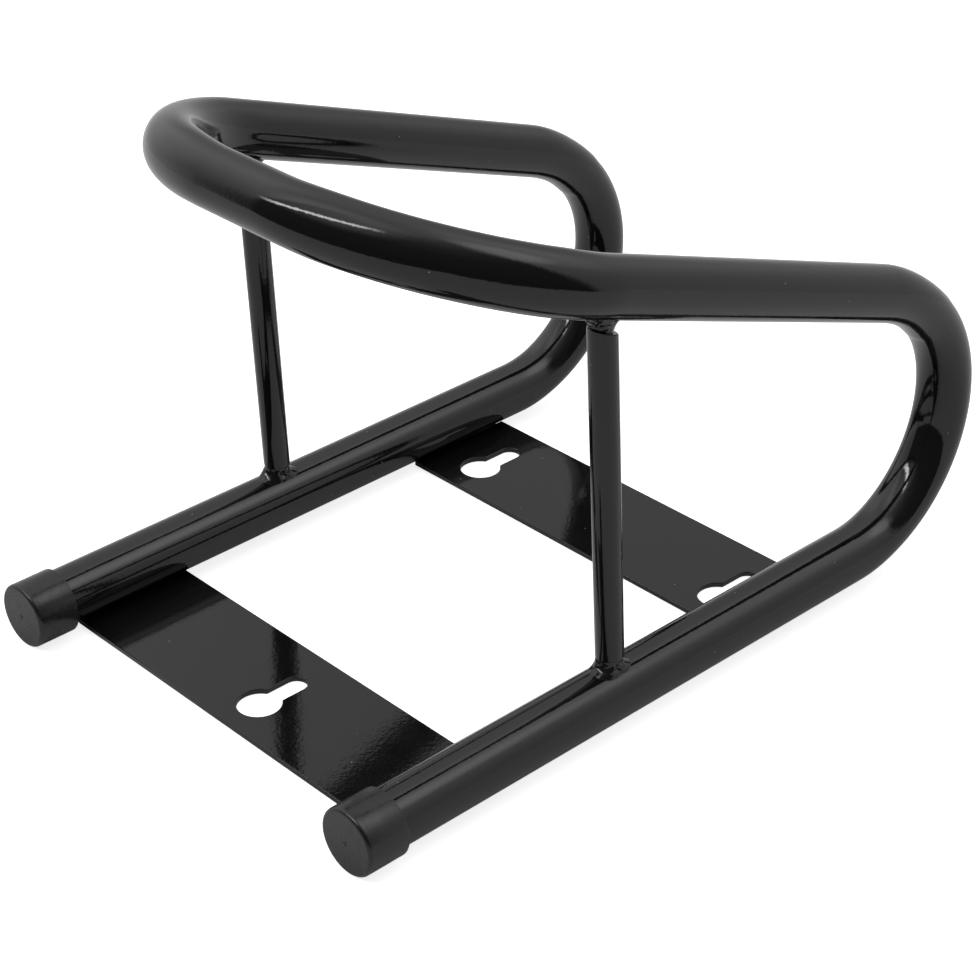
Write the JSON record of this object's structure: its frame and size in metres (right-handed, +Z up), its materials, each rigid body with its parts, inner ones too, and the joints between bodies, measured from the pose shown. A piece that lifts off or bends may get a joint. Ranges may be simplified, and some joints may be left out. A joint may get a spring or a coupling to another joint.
{
  "type": "wheel rack",
  "caption": "Black tubular steel wheel rack: capped rails bend back and up into a raised front loop held on round struts, with flat cross plates and keyholes to screw it down.",
  "frame": {"origin": "centre of the footprint, at the level of the cross plates' undersides", "axes": "+Y from the capped front ends towards the rear return bends, +Z up from the plates towards the front loop, X across the rack, which is the same on both sides"},
  "size_m": [0.2408, 0.3649, 0.2407],
  "materials": {
    "black_coat": "glossy black powder coat on steel, slight orange peel",
    "cap_plastic": "satin black moulded polyethylene"
  },
  "bodies": {
    "root": {"bent_tube": "black_coat", "front_plate": "black_coat", "rear_plate": "black_coat", "strut_right": "black_coat", "strut_left": "black_coat", "end_cap_right": "cap_plastic", "end_cap_left": "cap_plastic", "weld_strut_foot_right": "black_coat", "weld_strut_foot_left": "black_coat", "weld_strut_head_right": "black_coat", "weld_strut_head_left": "black_coat", "weld_front_plate_right": "black_coat", "weld_front_plate_left": "black_coat", "weld_rear_plate_right": "black_coat", "weld_rear_plate_left": "black_coat"}
  },
  "joints": []
}
